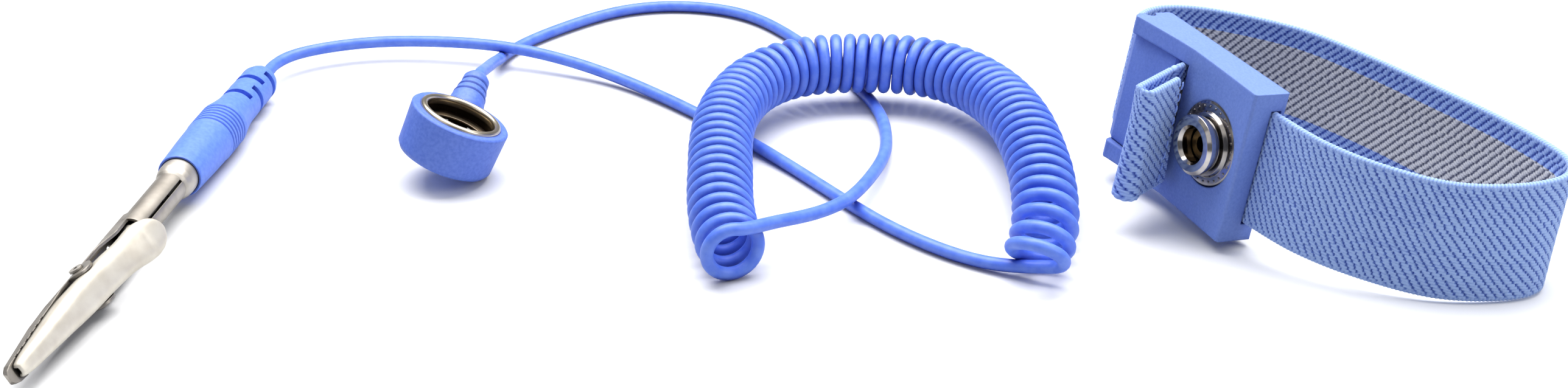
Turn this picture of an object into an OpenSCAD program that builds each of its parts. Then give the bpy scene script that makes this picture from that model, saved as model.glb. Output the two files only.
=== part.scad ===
// ESD wrist strap: an elastic wristband with a cam buckle and a 10 mm snap stud,
// and a coiled ground cord with a snap socket on one end and a banana plug that
// carries an alligator clip on the other. Laid out on a bench, all in millimetres.

/* [Cord] */
// Radius of the cord jacket
cord_r = 1.05; // [0.9:0.05:1.05]
// Mean radius of one turn of the coil
coil_r = 4.45; // [4.2:0.05:4.6]
// Whole turns in the coil
coil_turns = 59; // [48:1:60]
// Half of the width of the arch that the coil lies in
arch_half_w = 26.9; // [26:0.1:27.4]
// Rise of the arch above its widest line
arch_rise = 44.3; // [43:0.1:46]
// Angle from the crown of the arch to the coil's snap end
arch_from = -122; // [-124:1:-118]
// Angle from the crown of the arch to the coil's plug end
arch_to = 124.6; // [122:0.2:126]

/* [Plug] */
// Length of the moulded grip
grip_l = 44.5; // [42:0.5:48]
// Largest radius of the grip
grip_r = 4.4; // [4.2:0.1:4.6]
// Radius of the banana pin with its contact cage
plug_r = 2.2; // [1.9:0.05:2.2]

/* [Clip] */
// Length of the clip from barrel end to jaw tip
clip_l = 58.5; // [54:0.5:62]
// Thickness of the clip's sheet metal
clip_sheet = 0.5; // [0.4:0.05:0.6]
// Outside radius of the clip's barrel
barrel_r = 2.7; // [2.6:0.05:2.9]
// Half of the width across the ears of the lower jaw
ear_half_w = 3.3; // [3.25:0.05:3.5]

/* [Snap] */
// Radius of the head of the snap stud
snap_r = 5; // [5:0.1:5]
// Radius of the snap's moulded cap at its rim
cap_r = 8.8; // [8.6:0.1:9.4]
// Height of the snap's moulded cap
cap_h = 8.8; // [8.6:0.1:9]
// Length of the neck from the wall of the cap
neck_l = 11.5; // [10:0.5:13]

/* [Buckle] */
// Length of the buckle along the band
buckle_l = 33.3; // [33:0.1:36]
// Width of the buckle across the band
buckle_w = 26.3; // [26:0.1:28]
// Thickness of each side wall of the buckle
wall_t = 3; // [2.8:0.1:3]

/* [Band] */
// Width of the elastic band
band_w = 20; // [19:0.5:20]
// Thickness of the knitted band
band_t = 1.3; // [1.1:0.1:1.3]
// Width of the conductive stripe on the inside of the band
lining_w = 12.6; // [10:0.2:14]
// Thickness of the conductive stripe
lining_t = 0.3; // [0.2:0.05:0.3]

/* [Hidden] */
$fn = 48;

blue = "#5b86ea";
light_blue = "#7fa8f2";
knit_grey = "#8d93a3";
nickel = "#cfcac2";
brass = "#b5934a";
tin = "#b9b9b4";

// Bench layout. The bench point under bench_mid is the origin of the part.
bench_mid = [5.2, 9.5];
rim_at = [-102.4, -3.3, 4.95];
jaw_tip_at = [-111.4, -65.6, 3.5];
grip_tail_at = [-97.0, 46.0, 3.73];
cap_at = [-59.3, 6.6, 3.3];
cap_tilt = [24.9, 14.6];
buckle_at = [71.2, -3.6, 15.0];
buckle_turn = [81.6, 3.5, -63.7];
arch_mid = [16.2, -5.8];
coil_out_r = coil_r + cord_r;
crossing_lift = 2.4;

module bench() {
    translate([-bench_mid[0], -bench_mid[1], 0]) children();
}

// Sets a child's Z axis along direction d at point p.
module aim(p, d) {
    translate(p)
        rotate([0, acos(d[2] / norm(d)), atan2(d[1], d[0])])
            children();
}

// ---- curves and swept tubes ----

function unit(v) = v / norm(v);
function mix(a, b, t) = a + (b - a) * t;
function ease(x) = let (c = min(1, max(0, x))) c * c * (3 - 2 * c);

// One point of the Catmull-Rom curve between b and c.
function spline_point(a, b, c, d, t) =
    0.5 * (2 * b + (c - a) * t + (2 * a - 5 * b + 4 * c - d) * t * t
        + (3 * b - a - 3 * c + d) * t * t * t);

// Curve through the inner points of p; the first and last only steer its ends.
function spline(p, steps) = [
    for (i = [1 : len(p) - 3]) for (j = [0 : steps - 1])
        spline_point(p[i - 1], p[i], p[i + 1], p[i + 2], j / steps)
];

function tangent(path, i) =
    unit(path[min(i + 1, len(path) - 1)] - path[max(i - 1, 0)]);
function lay_flat(v, t) = unit(v - (v * t) * t);

// Normals carried along a path without twist.
function carried(path, first) = [
    for (i = 0, n = lay_flat(first, tangent(path, 0));
         i < len(path);
         i = i + 1, n = i < len(path) ? lay_flat(n, tangent(path, i)) : n) n
];

// A solid tube of radius r and the given number of sides along a path.
module tube(path, r, sides, first = [0, 0, 1]) {
    n = carried(path, first);
    last = len(path) - 1;
    points = [
        for (i = [0 : last]) for (k = [0 : sides - 1])
            let (t = tangent(path, i), b = cross(t, n[i]), a = 360 * k / sides)
                path[i] + r * (cos(a) * n[i] + sin(a) * b)
    ];
    walls = [
        for (i = [0 : last - 1]) for (k = [0 : sides - 1])
            let (a = i * sides + k, b = i * sides + (k + 1) % sides)
                for (f = [[a, a + sides, b], [b, a + sides, b + sides]]) f
    ];
    ends = [
        [for (k = [0 : sides - 1]) k],
        [for (k = [sides - 1 : -1 : 0]) last * sides + k]
    ];
    polyhedron(points, concat(ends, walls), convexity = 10);
}

// ---- placing of the snap ----

cap_axis = [
    sin(cap_tilt[0]) * cos(cap_tilt[1]), sin(cap_tilt[0]) * sin(cap_tilt[1]), cos(cap_tilt[0])
];
neck_turn = 74;
neck_lift = 30;
neck_root = [cap_r - 2.4, 0, 4];
neck_reach = neck_l + 1.5;

// The same frames as points and directions, for the cord that leaves the neck.
cap_x = [cos(cap_tilt[0]) * cos(cap_tilt[1]), cos(cap_tilt[0]) * sin(cap_tilt[1]), -sin(cap_tilt[0])];
cap_y = cross(cap_axis, cap_x);
neck_x = cos(neck_turn) * cap_x + sin(neck_turn) * cap_y;
neck_axis = cos(neck_lift) * neck_x + sin(neck_lift) * cap_axis;
neck_root_at = cap_at + neck_root[0] * neck_x + neck_root[2] * cap_axis;
snap_bend_at = neck_root_at + (neck_reach + 0.9) * neck_axis;
snap_lead_axis = [0, 0.95, -0.312];

// ---- cord ----

function soft_power(v, e) = sign(v) * pow(abs(v), e);

// Centre line of the coil: a flattened arch, raised where the leads pass under it.
function arch(a) =
    let (y = arch_rise * soft_power(cos(a), 0.8))
    [arch_mid[0] + arch_half_w * soft_power(sin(a), 0.75) - 0.04 * max(0, y),
     arch_mid[1] + y,
     coil_out_r + crossing_lift * (1 - ease((abs(a) - 68) / 52))];

// Spacing of the turns at each angle of the arch: they open towards the ends, and
// where the arch bends they keep just enough room on its inner side.
spacing = [
    [-122, 3.68], [-112, 3.42], [-100, 3.18], [-85, 2.89], [-72, 2.71], [-60, 2.54],
    [-50, 2.5], [-42, 2.68], [-35, 2.78], [-28, 2.85], [-20, 2.86], [-10, 2.73],
    [0, 2.47], [8, 2.67], [15, 2.79], [22, 2.77], [30, 2.71], [38, 2.59], [46, 2.46],
    [60, 2.41], [75, 2.75], [85, 2.98], [95, 3.33], [101, 3.77], [106, 4.47], [111, 5],
    [117, 5.43], [121, 4.38], [125, 2.98]
];
arch_steps = 260;
arch_angles = [for (i = [0 : arch_steps]) mix(arch_from, arch_to, i / arch_steps)];
turns_passed = [
    for (i = 0, sum = 0; i <= arch_steps;
         i = i + 1,
         sum = i <= arch_steps
             ? sum + norm(arch(arch_angles[i]) - arch(arch_angles[i - 1]))
                 / lookup(arch_angles[i], spacing)
             : sum) sum
];
turn_table = [
    for (i = [0 : arch_steps]) [turns_passed[i] / turns_passed[arch_steps], arch_angles[i]]
];
// Degrees by which the turns tip along the arch.
tipping = [[-122, 0], [60, 0], [85, 10], [105, 24], [115, 35], [125, 48]];
all_turns = coil_turns + 0.58;
first_phase = 119;

// A point of the left-handed coil; q runs from 0 at the snap end to 1 at the plug end.
function coil_point(q) =
    let (a = lookup(q, turn_table),
         t = unit(arch(a + 0.5) - arch(a - 0.5)),
         side = unit(cross([0, 0, 1], t)),
         up = cross(t, side),
         turn = first_phase - 360 * all_turns * q,
         tip = lookup(a, tipping))
    arch(a) + coil_r * (cos(turn) * side + sin(turn) * (cos(tip) * up + sin(tip) * t));

coil_facets = 10;
coil_count = ceil(all_turns * coil_facets);
coil_path = [for (i = [coil_count : -1 : 0]) coil_point(i / coil_count)];

grip_axis = unit(grip_tail_at - rim_at);
plug_bend_at = grip_tail_at + 5 * grip_axis;
bend_gap = 0.25;

// Cord from the bend at the plug to the plug end of the coil.
plug_lead = [
    grip_tail_at, plug_bend_at + (cord_r + bend_gap) * grip_axis,
    [-89.5, 56.2, 3.5], [-80, 59.4, 3.5], [-68, 59.2, 3.7], [-54.4, 56.3, 3.9],
    [-42, 52.0, 2.9], [-30.4, 45.5, 1.5], [-16.3, 31.4, 1.1], [-3.0, 14.5, 1.1],
    [6.2, 1.3, 1.1], [15.9, -12.6, 1.1], [25.5, -22.6, 1.1], [34, -28.2, 1.15],
    coil_point(1), coil_point(1 - 1 / coil_count)
];

// Cord from the snap end of the coil to the bend at the snap.
snap_lead = [
    coil_point(1 / coil_count), coil_point(0),
    [-1.9, -25.6, 7.9], [1.6, -21.8, 6.3], [5.6, -17.2, 5.1], [10.3, -11.3, 4.1],
    [14.4, -1.4, 3.4], [17.6, 10, 2.4], [18.4, 20, 1.4], [17.2, 33.6, 1.1], [9.5, 53, 1.1],
    [-4.7, 76.9, 1.1], [-18, 84.0, 1.1], [-33, 82.0, 1.1], [-48, 68.5, 1.1],
    [-54.5, 59, 1.1], [-54.9, 55.5, 1.4],
    [-54.9, 47, 4.6], [-54.8, 36, 8], snap_bend_at + (cord_r + bend_gap) * snap_lead_axis,
    snap_bend_at
];

module cord_jacket() {
    color(blue) bench()
        tube(concat(spline(plug_lead, 5), coil_path, spline(snap_lead, 5)), cord_r, 5);
}

// A straight end of the cord with a ball at the far end, where the cord bends.
module cord_end(l) {
    cylinder(r = cord_r, h = l);
    translate([0, 0, l]) sphere(r = cord_r - 0.01);
}

// ---- plug ----

pin_axis = unit(rim_at - jaw_tip_at);
clip_roll = -119;
seam_turn = 7;
shoulder_l = 4;
pin_groove_r = 1.25;
cage_start = -8.5;
cage_end = -20.5;
pin_end = -23;
cup_end = 17;
cord_start = 19;

module grip_frame() {
    bench() aim(rim_at, grip_axis) children();
}

module pin_frame() {
    bench() aim(rim_at, pin_axis) rotate([0, 0, clip_roll]) children();
}

module plug_cord_end() {
    color(blue) grip_frame() translate([0, 0, cord_start])
        cord_end(norm(plug_bend_at - rim_at) - cord_start);
}

module plug_conductor() {
    color(brass) grip_frame() translate([0, 0, cup_end - 3.5])
        cylinder(r = 0.45, h = cord_start - cup_end + 3.4);
}

// Outside of the metal pin where it sits in the grip, with a running clearance.
module pin_seat() {
    translate([0, 0, -1]) cylinder(r = 3.42, h = 2.5);
    translate([0, 0, -1]) cylinder(r = 2.42, h = 13.5);
    cylinder(r = 2.02, h = cup_end + 0.6);
}

module plug_grip() {
    neck_r = 3.5;
    slot_levels = [29.3, 32.8, 36.3, 39.8];
    groove_pitch = 1.15;
    color(blue) difference() {
        grip_frame() difference() {
            rotate_extrude() polygon([
                [0, 0], [3.7, 0], [3.85, 0.3], [4.15, 8], [grip_r - 0.1, 14],
                for (i = [0 : 5]) for (p = [[-0.3, 0], [0, -0.35], [0.3, 0]])
                    [grip_r + p[1], 15.2 + i * groove_pitch + p[0]],
                [grip_r, 22.3], [grip_r - 0.25, 23.6], [neck_r + 0.15, 27], [neck_r, 29],
                [neck_r - 0.1, grip_l - 2.6], [neck_r - 0.5, grip_l - 1.1],
                [neck_r - 1.4, grip_l - 0.2], [neck_r - 2, grip_l], [0, grip_l]
            ]);
            translate([0, 0, cup_end]) cylinder(r = cord_r + 0.02, h = grip_l);
            for (i = [0 : 3]) for (side = [0, 180])
                translate([0, 0, slot_levels[i]])
                    rotate([0, 0, i * 90 + side - 55])
                        rotate_extrude(angle = 110) translate([1.9, 0]) square([3, 1.5]);
        }
        pin_frame() pin_seat();
    }
}

module plug_pin() {
    color(nickel) difference() {
        pin_frame() rotate_extrude() polygon([
            [0, pin_end], [0.9, pin_end], [1.5, pin_end + 0.6], [1.8, pin_end + 1.4],
            [1.8, cage_end - 0.1], [pin_groove_r, cage_end - 0.1],
            [pin_groove_r, cage_start + 0.1], [1.8, cage_start + 0.1], [1.8, -shoulder_l],
            [2.5, -shoulder_l + 0.02], [2.95, -shoulder_l + 0.7], [3.25, -shoulder_l + 1.9],
            [3.3, -shoulder_l + 2.8], [3.3, 1.4], [2.4, 1.4], [2.4, 12.4], [2, 12.4],
            [2, cup_end], [0, cup_end]
        ]);
        grip_frame() translate([0, 0, cup_end - 3.6]) cylinder(r = 0.47, h = 6);
    }
}

module plug_contact_cage() {
    cage_mid = (cage_start + cage_end) / 2;
    color(nickel) pin_frame() difference() {
        rotate_extrude() polygon([
            [pin_groove_r + 0.06, cage_end], [pin_groove_r + 0.3, cage_end],
            [pin_groove_r + 0.3, cage_end + 1.2], [plug_r - 0.15, cage_mid - 2.2],
            [plug_r, cage_mid], [plug_r - 0.15, cage_mid + 2.2],
            [pin_groove_r + 0.3, cage_start - 1.2], [pin_groove_r + 0.3, cage_start],
            [pin_groove_r + 0.06, cage_start], [pin_groove_r + 0.06, cage_start - 1.4],
            [plug_r - 0.4, cage_mid + 2.2], [plug_r - 0.25, cage_mid],
            [plug_r - 0.4, cage_mid - 2.2], [pin_groove_r + 0.06, cage_end + 1.4]
        ]);
        for (a = [0 : 60 : 300])
            rotate([0, 0, a]) translate([1, -0.2, cage_end + 1.8])
                cube([3, 0.4, cage_start - cage_end - 3.6]);
    }
}

// ---- clip ----

jaw_pivot = [0.6, 34];
jaw_l = clip_l + 1.3;
lever_start = 23.1;

// The clip's own frame: Z runs from the barrel to the jaw tip, X towards the lever.
module clip_frame() {
    pin_frame() translate([0, 0, -shoulder_l - 0.1]) rotate([180, 0, 0]) children();
}

// A flat outline in the clip's X-Z plane, given thickness across the clip.
module across(half_w) {
    translate([0, half_w, 0]) rotate([90, 0, 0]) linear_extrude(2 * half_w) children();
}

// A flat outline in the clip's Y-Z plane, extruded along X.
module upwards(low, high) {
    translate([low, 0, 0])
        rotate([90, 0, 90]) linear_extrude(high - low) children();
}

// Half widths of the jaws along the clip, as [half width, distance].
lower_widths = [
    [2.65, 12], [2.7, 21], [ear_half_w, 27], [ear_half_w, 38], [2.7, 43],
    [1.5, jaw_l - 1.3], [1.1, jaw_l - 0.4], [0.5, jaw_l]
];
upper_widths = [[3.05, 20], [3, 25], [2.75, 28], [2.75, 38], [2.55, 43], [1.4, clip_l]];

// A jaw's plan in the Y-Z plane, inset by t.
module plan(widths, t) {
    n = len(widths);
    polygon(concat(
        [for (i = [0 : n - 1]) [widths[i][0] - t, widths[i][1]]],
        [for (i = [n - 1 : -1 : 0]) [t - widths[i][0], widths[i][1]]]
    ));
}

// Cross-section of the lower jaw, inset by t: narrow floor, walls flaring upwards.
module jaw_section(t) {
    translate([0, 0, 10]) linear_extrude(jaw_l) polygon([
        [-barrel_r + t, 1.6 - t / 2], [-1.4 + t, 2.7 - t], [0, 3.1 - t], [0.8, ear_half_w - t],
        [8, ear_half_w - t], [8, t - ear_half_w], [0.8, t - ear_half_w], [0, t - 3.1],
        [-1.4 + t, t - 2.7], [-barrel_r + t, t / 2 - 1.6]
    ]);
}

module clip_lower_jaw() {
    color(nickel) clip_frame() difference() {
        union() {
            cylinder(r = barrel_r, h = 16);
            intersection() {
                across(ear_half_w + 1) union() {
                    polygon([
                        [-barrel_r + 0.1, 13], [0.6, 13], [1.0, 20], [0.2, 27], [0.2, 40],
                        [-0.1, 45], [-0.15, jaw_l - 1.2], [-0.5, jaw_l], [-1.2, jaw_l - 0.2],
                        [-1.9, 48], [-barrel_r + 0.1, 30]
                    ]);
                    translate(jaw_pivot) circle(r = 2.5);
                }
                upwards(-6, 6) plan(lower_widths, 0);
                jaw_section(0);
            }
        }
        translate([0, 0, -1]) cylinder(r = barrel_r - 0.45, h = 20);
        rotate([0, 0, seam_turn]) translate([0, -0.25, -1]) cube([4, 0.5, 18]);
        intersection() {
            across(ear_half_w + 1) polygon([
                [-barrel_r + 0.6, 16.5], [6, 16.5], [6, clip_l - 1], [-0.9, clip_l - 1],
                [-1.35, 48], [-barrel_r + 0.6, 30]
            ]);
            upwards(-6, 7) plan(lower_widths, clip_sheet);
            jaw_section(clip_sheet);
        }
        translate([jaw_pivot[0], 0, jaw_pivot[1]]) rotate([90, 0, 0])
            cylinder(r = 0.8, h = 20, center = true);
        for (z = [20.5, 23.5])
            translate([-barrel_r, 0, z]) rotate([0, 90, 0])
                cylinder(r = 1, h = 2, center = true);
        for (i = [0 : 5])
            translate([0, 0, 46.5 + i * 1.9]) rotate([90, 0, 0])
                cylinder(r = 0.42, h = 20, center = true);
    }
}

// Cross-section of the lever, inset by t: its lugs narrow to fit inside the lower jaw.
module lever_section(t) {
    translate([0, 0, 10]) linear_extrude(jaw_l) polygon([
        [-1.5, 1.95 - t], [0, 2.36 - t], [0.8, 2.56 - t], [1.4, 3.1 - t], [12, 3.1 - t],
        [12, t - 3.1], [1.4, t - 3.1], [0.8, t - 2.56], [0, t - 2.36], [-1.5, t - 1.95]
    ]);
}

module clip_upper_jaw() {
    color(nickel) clip_frame() difference() {
        union() {
            intersection() {
                lever_section(0);
                across(4) union() {
                    polygon([
                        [7.9, 22.5], [5.7, 28], [3.8, 35], [2.9, 44], [1.7, clip_l - 2],
                        [1.0, clip_l - 0.3], [0.5, clip_l], [0.02, clip_l - 0.5],
                        [0.05, 43], [1.2, 39], [2.6, 30], [5.7, 22.5]
                    ]);
                    translate(jaw_pivot) circle(r = 1.6);
                }
                upwards(-6, 12) plan(upper_widths, 0);
            }
            intersection() {
                across(4) polygon([[8.5, 19], [7.8, 22.9], [7.1, 22.9], [7.9, 19]]);
                upwards(5, 12) translate([0, lever_start]) circle(r = 3.3);
            }
        }
        intersection() {
            across(4) polygon([
                [7.3, 22.55], [5.1, 28], [3.2, 35], [2.3, 44], [1.0, clip_l - 2],
                [-1.45, clip_l - 2], [-1.45, 21], [7.1, 21]
            ]);
            upwards(-6, 12) plan(upper_widths, clip_sheet);
            lever_section(clip_sheet);
        }
        translate([jaw_pivot[0], 0, jaw_pivot[1]]) rotate([90, 0, 0])
            cylinder(r = 0.83, h = 20, center = true);
        for (i = [0 : 5])
            translate([0.05, 0, 47.45 + i * 1.9]) rotate([90, 0, 0])
                cylinder(r = 0.42, h = 20, center = true);
    }
}

module clip_rivet() {
    color(nickel) clip_frame()
        translate([jaw_pivot[0], 0, jaw_pivot[1]]) rotate([90, 0, 0]) difference() {
            union() {
                cylinder(r = 0.78, h = 2 * ear_half_w + 0.6, center = true);
                for (side = [-1, 1])
                    translate([0, 0, side * (ear_half_w + 0.22)])
                        cylinder(r = 1.15, h = 0.4, center = true);
            }
            for (side = [-1, 1])
                translate([0, 0, side * (ear_half_w + 0.3)])
                    cylinder(r = 0.4, h = 1.2, center = true);
        }
}

// Torsion spring on the rivet: one leg lies on the floor of the lower jaw,
// the other under the lever.
spring_r = 1.3;
spring_wire = 0.25;
spring_turns = 3.383;
spring_count = 42;
function spring_point(i) =
    let (a = 75 - 360 * spring_turns * i / spring_count)
    [jaw_pivot[0] - spring_r * sin(a),
     -0.95 + 1.9 * i / spring_count,
     jaw_pivot[1] + spring_r * cos(a)];
spring_path = concat(
    [[-1.72, -1.2, 25.5], [-1.72, -1.1, 29.5]],
    [for (i = [0 : spring_count]) spring_point(i)],
    [[3.0, 1.1, 30.2], [4.6, 1.2, 26.5]]
);

module clip_spring() {
    color(tin) clip_frame() tube(spring_path, spring_wire, 6, [0, 1, 0]);
}

// ---- snap ----

// The cap's own frame: Z out of the socket's mouth, X towards the neck.
module cap_frame() {
    bench() aim(cap_at, cap_axis) rotate([0, 0, neck_turn]) children();
}

module neck_frame() {
    cap_frame() translate(neck_root) rotate([0, 90 - neck_lift, 0]) children();
}

module snap_cord_end() {
    color(blue) neck_frame() translate([0, 0, 5]) cord_end(neck_reach - 4.1);
}

socket_floor = 3;

module snap_cap() {
    color(blue) difference() {
        union() {
            cap_frame() rotate_extrude() polygon([
                [0, 0], [cap_r - 1.6, 0], [cap_r - 0.8, 0.35], [cap_r - 0.35, 1.1],
                [cap_r, cap_h - 0.3], [cap_r - 0.3, cap_h], [0, cap_h]
            ]);
            neck_frame() rotate_extrude() polygon([
                [0, 0], [3.5, 0], [3.4, 5],
                for (i = [0 : 2]) for (p = [[-0.25, 0], [0, -0.25], [0.25, 0]])
                    [3.05 - 0.3 * i + p[1], 7.6 + i * 1.6 + p[0]],
                [2.4, neck_reach - 0.8], [1.9, neck_reach], [0, neck_reach]
            ]);
        }
        cap_frame() translate([0, 0, socket_floor - 0.02]) cylinder(r = 7.32, h = 10);
        cap_frame() translate([0, 0, 0.7]) cylinder(r = 2.2, h = 3);
        cap_frame() translate([-4, -1.2, 0.8]) cube([11, 2.4, 2.4]);
        neck_frame() translate([0, 0, 4.9]) cylinder(r = cord_r + 0.02, h = 20);
        neck_frame() translate([0, 0, -0.6]) cylinder(r = 0.6, h = 6);
    }
}

module snap_conductor() {
    color(brass) neck_frame() translate([0, 0, 1.2]) cylinder(r = 0.45, h = 3.7);
}

module resistor_body() {
    color("#c9b48a") cap_frame() translate([4.1, 0, 1.9]) rotate([0, 90, 0])
        rotate_extrude($fn = 96) polygon([
            [0, -1.8], [0.8, -1.8], [1, -1.5], [1, -0.9], [0.85, -0.7], [0.85, 0.7],
            [1, 0.9], [1, 1.5], [0.8, 1.8], [0, 1.8]
        ]);
}

module resistor_leads() {
    color(tin) cap_frame() for (lead = [[-2.6, 4.88], [5.92, 0.98]])
        translate([lead[0], 0, 1.9]) rotate([0, 90, 0]) cylinder(r = 0.25, h = lead[1]);
}

// Solder tag pressed under the socket by the socket's rivet.
module socket_terminal() {
    color(tin) cap_frame() translate([0, 0, 2.55]) difference() {
        union() {
            cylinder(r = 2.1, h = 0.3);
            translate([-3.4, -0.7, 0]) cube([3, 1.4, 0.3]);
        }
        translate([0, 0, -1]) cylinder(r = 0.95, h = 3);
    }
}

socket_bore_r = snap_r + 0.15;

module socket_shell() {
    ring_r = 6.7;
    ring_t = 0.6;
    color(nickel) cap_frame() difference() {
        rotate_extrude() union() {
            polygon([
                [1, socket_floor + 0.02], [5.7, socket_floor + 0.02], [5.9, socket_floor + 0.3],
                [5.9, 5.8], [7.1, 6.2], [7.28, 6.5], [7.28, cap_h], [6.4, cap_h],
                [6.4, 6.45], [socket_bore_r, 6.15], [socket_bore_r, 5.85],
                [5.55, 5.7], [5.55, 5], [socket_bore_r, 4.9], [socket_bore_r, 4.05],
                [5.4, 3.95], [5.4, socket_floor + 0.5], [1, socket_floor + 0.5]
            ]);
            translate([ring_r, cap_h]) circle(r = ring_t, $fn = 24);
        }
        translate([0, 0, -1]) cylinder(r = 1, h = 10);
    }
}

// Split ring of spring wire that grips the stud.
module socket_spring() {
    color(tin) cap_frame() translate([0, 0, 5.35])
        rotate([0, 0, 20]) rotate_extrude(angle = 320)
            translate([socket_bore_r + 0.18, 0]) circle(r = 0.2, $fn = 16);
}

module socket_rivet() {
    color(brass) cap_frame() rotate_extrude() polygon([
        [0.5, 2.25], [1.6, 2.25], [1.6, 2.53], [0.93, 2.53], [0.93, socket_floor + 0.52],
        [1.9, socket_floor + 0.52], [1.8, socket_floor + 0.9], [0.5, socket_floor + 0.9]
    ]);
}

// ---- buckle ----

half_l = buckle_l / 2;
wall_end = half_l - 0.1;
half_w = buckle_w / 2;
bay_half_w = half_w - wall_t;
stud_x = 8;
stud_y = 0.5;
plate_edge = -1.6;
hinge_at = [-16.4, 4.45];
slot_at = [-3.3, 5.4];
flap_end = -4.9;
channel_low = 1;
channel_high = 3;
strap_z = (channel_low + channel_high) / 2;
stud_base = 6.35;

// The buckle's own frame: X along the band, Y across it, Z away from the wrist.
module buckle_frame() {
    bench() translate(buckle_at) rotate(buckle_turn) children();
}

// A side outline in the buckle's X-Z plane, centred across the buckle.
module band_across(w) {
    translate([0, w / 2, 0]) rotate([90, 0, 0]) linear_extrude(w) children();
}

module buckle_outline() {
    polygon([
        [-wall_end, 0.4], [0.4 - wall_end, 0], [half_l - 0.3, 0], [half_l, 0.3],
        [half_l, 6.7], [half_l - 0.4, 7], [6, 6.4], [-1, 6.1], [-5, 6.4],
        [-half_l + 2, 7.7], [1.2 - wall_end, 7.9], [0.4 - wall_end, 7.5], [-wall_end, 6.6]
    ]);
}

module buckle_body() {
    color(blue) buckle_frame() difference() {
        band_across(buckle_w) buckle_outline();
        translate([-half_l - 5, -bay_half_w, channel_low])
            cube([2 * half_l + 10, 2 * bay_half_w, channel_high - channel_low]);
        translate([-half_l - 5, -bay_half_w, channel_low])
            cube([half_l + 5 + plate_edge, 2 * bay_half_w, 10]);
        translate([-half_l - 5, -bay_half_w, -1]) cube([7, 2 * bay_half_w, 10]);
        translate([-6, -8.5, -1]) cube([18.8, 17, 1.63]);
        translate([hinge_at[0], 0, hinge_at[1]]) rotate([90, 0, 0])
            cylinder(r = 1.02, h = 40, center = true);
        translate([stud_x, stud_y, -1]) cylinder(r = 2.05, h = 12);
        translate([stud_x, stud_y, 6.1]) cylinder(r = 7.15, h = 3);
    }
}

module buckle_flap() {
    w = 2 * bay_half_w - 0.4;
    color(blue) buckle_frame() difference() {
        union() {
            translate([hinge_at[0], 0, hinge_at[1]]) rotate([90, 0, 0])
                cylinder(r = 1.7, h = w, center = true);
            band_across(w) polygon([
                [hinge_at[0] - 1.6, hinge_at[1] + 1.1], [hinge_at[0] + 0.2, 6.5],
                [-12, 6.5], [flap_end - 0.5, 5.9], [flap_end, 5.4], [flap_end, 4.4],
                [flap_end - 0.5, 4.1], [-12, 4.4], [-12.9, 2.75], [-13.6, 2.75], [-14.9, 3.4]
            ]);
        }
        translate([hinge_at[0], 0, hinge_at[1]]) rotate([90, 0, 0])
            cylinder(r = 1.04, h = 40, center = true);
    }
}

module flap_pin() {
    color(nickel) buckle_frame() translate([hinge_at[0], 0, hinge_at[1]]) rotate([90, 0, 0])
        cylinder(r = 1, h = buckle_w - 1.6, center = true);
}

// Stainless plate that touches the wrist.
module contact_plate() {
    color(nickel) buckle_frame() difference() {
        translate([-5.9, -8.4, 0]) cube([18.6, 16.8, 0.6]);
        translate([stud_x, stud_y, -1]) cylinder(r = 1.95, h = 3);
        translate([stud_x, stud_y, -1]) cylinder(r = 2.95, h = 1.4);
    }
}

module snap_stud() {
    base = 6.12;
    color(nickel) buckle_frame() translate([stud_x, stud_y, 0]) difference() {
        union() {
            rotate_extrude() polygon([
                [1.95, base], [7.1, base], [7.1, base + 0.3], [6.7, base + 0.55],
                [5.5, base + 0.7], [5.2, base + 1.3], [4.4, base + 1.5], [4.3, base + 2.1],
                [snap_r - 0.2, base + 2.3], [snap_r, base + 2.5], [snap_r, base + 3.5],
                [snap_r - 0.6, base + 3.95], [3.3, base + 3.95], [2.9, base + 3.3],
                [2.7, base + 1.2], [1.95, base + 0.9]
            ]);
            for (i = [0 : 27]) rotate([0, 0, i * 360 / 28])
                translate([6.25, 0, base + 0.5]) cylinder(r = 0.16, h = 0.25);
        }
        translate([0, 0, base - 1]) cylinder(r = 1.95, h = 3);
    }
}

// Hollow brass rivet that clamps stud, buckle, band end and contact plate.
module stud_rivet() {
    color(brass) buckle_frame() translate([stud_x, stud_y, 0]) rotate_extrude() polygon([
        [1.35, 0.05], [2.7, 0.05], [2.88, 0.2], [2.88, 0.38], [1.9, 0.38], [1.9, 7.06],
        [2.55, 7.25], [2.5, 7.7], [1.35, 7.7]
    ]);
}

// ---- band ----

// Buckle frame directions and local points as bench coordinates.
function rotated(v) =
    let (a = buckle_turn,
         p = [v[0], v[1] * cos(a[0]) - v[2] * sin(a[0]), v[1] * sin(a[0]) + v[2] * cos(a[0])],
         q = [p[0] * cos(a[1]) + p[2] * sin(a[1]), p[1], p[2] * cos(a[1]) - p[0] * sin(a[1])])
    [q[0] * cos(a[2]) - q[1] * sin(a[2]), q[0] * sin(a[2]) + q[1] * cos(a[2]), q[2]];
bx = rotated([1, 0, 0]);
by = rotated([0, 1, 0]);
bz = rotated([0, 0, 1]);
function on_buckle(p, y = 0) = buckle_at + p[0] * bx + y * by + p[1] * bz;

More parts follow.
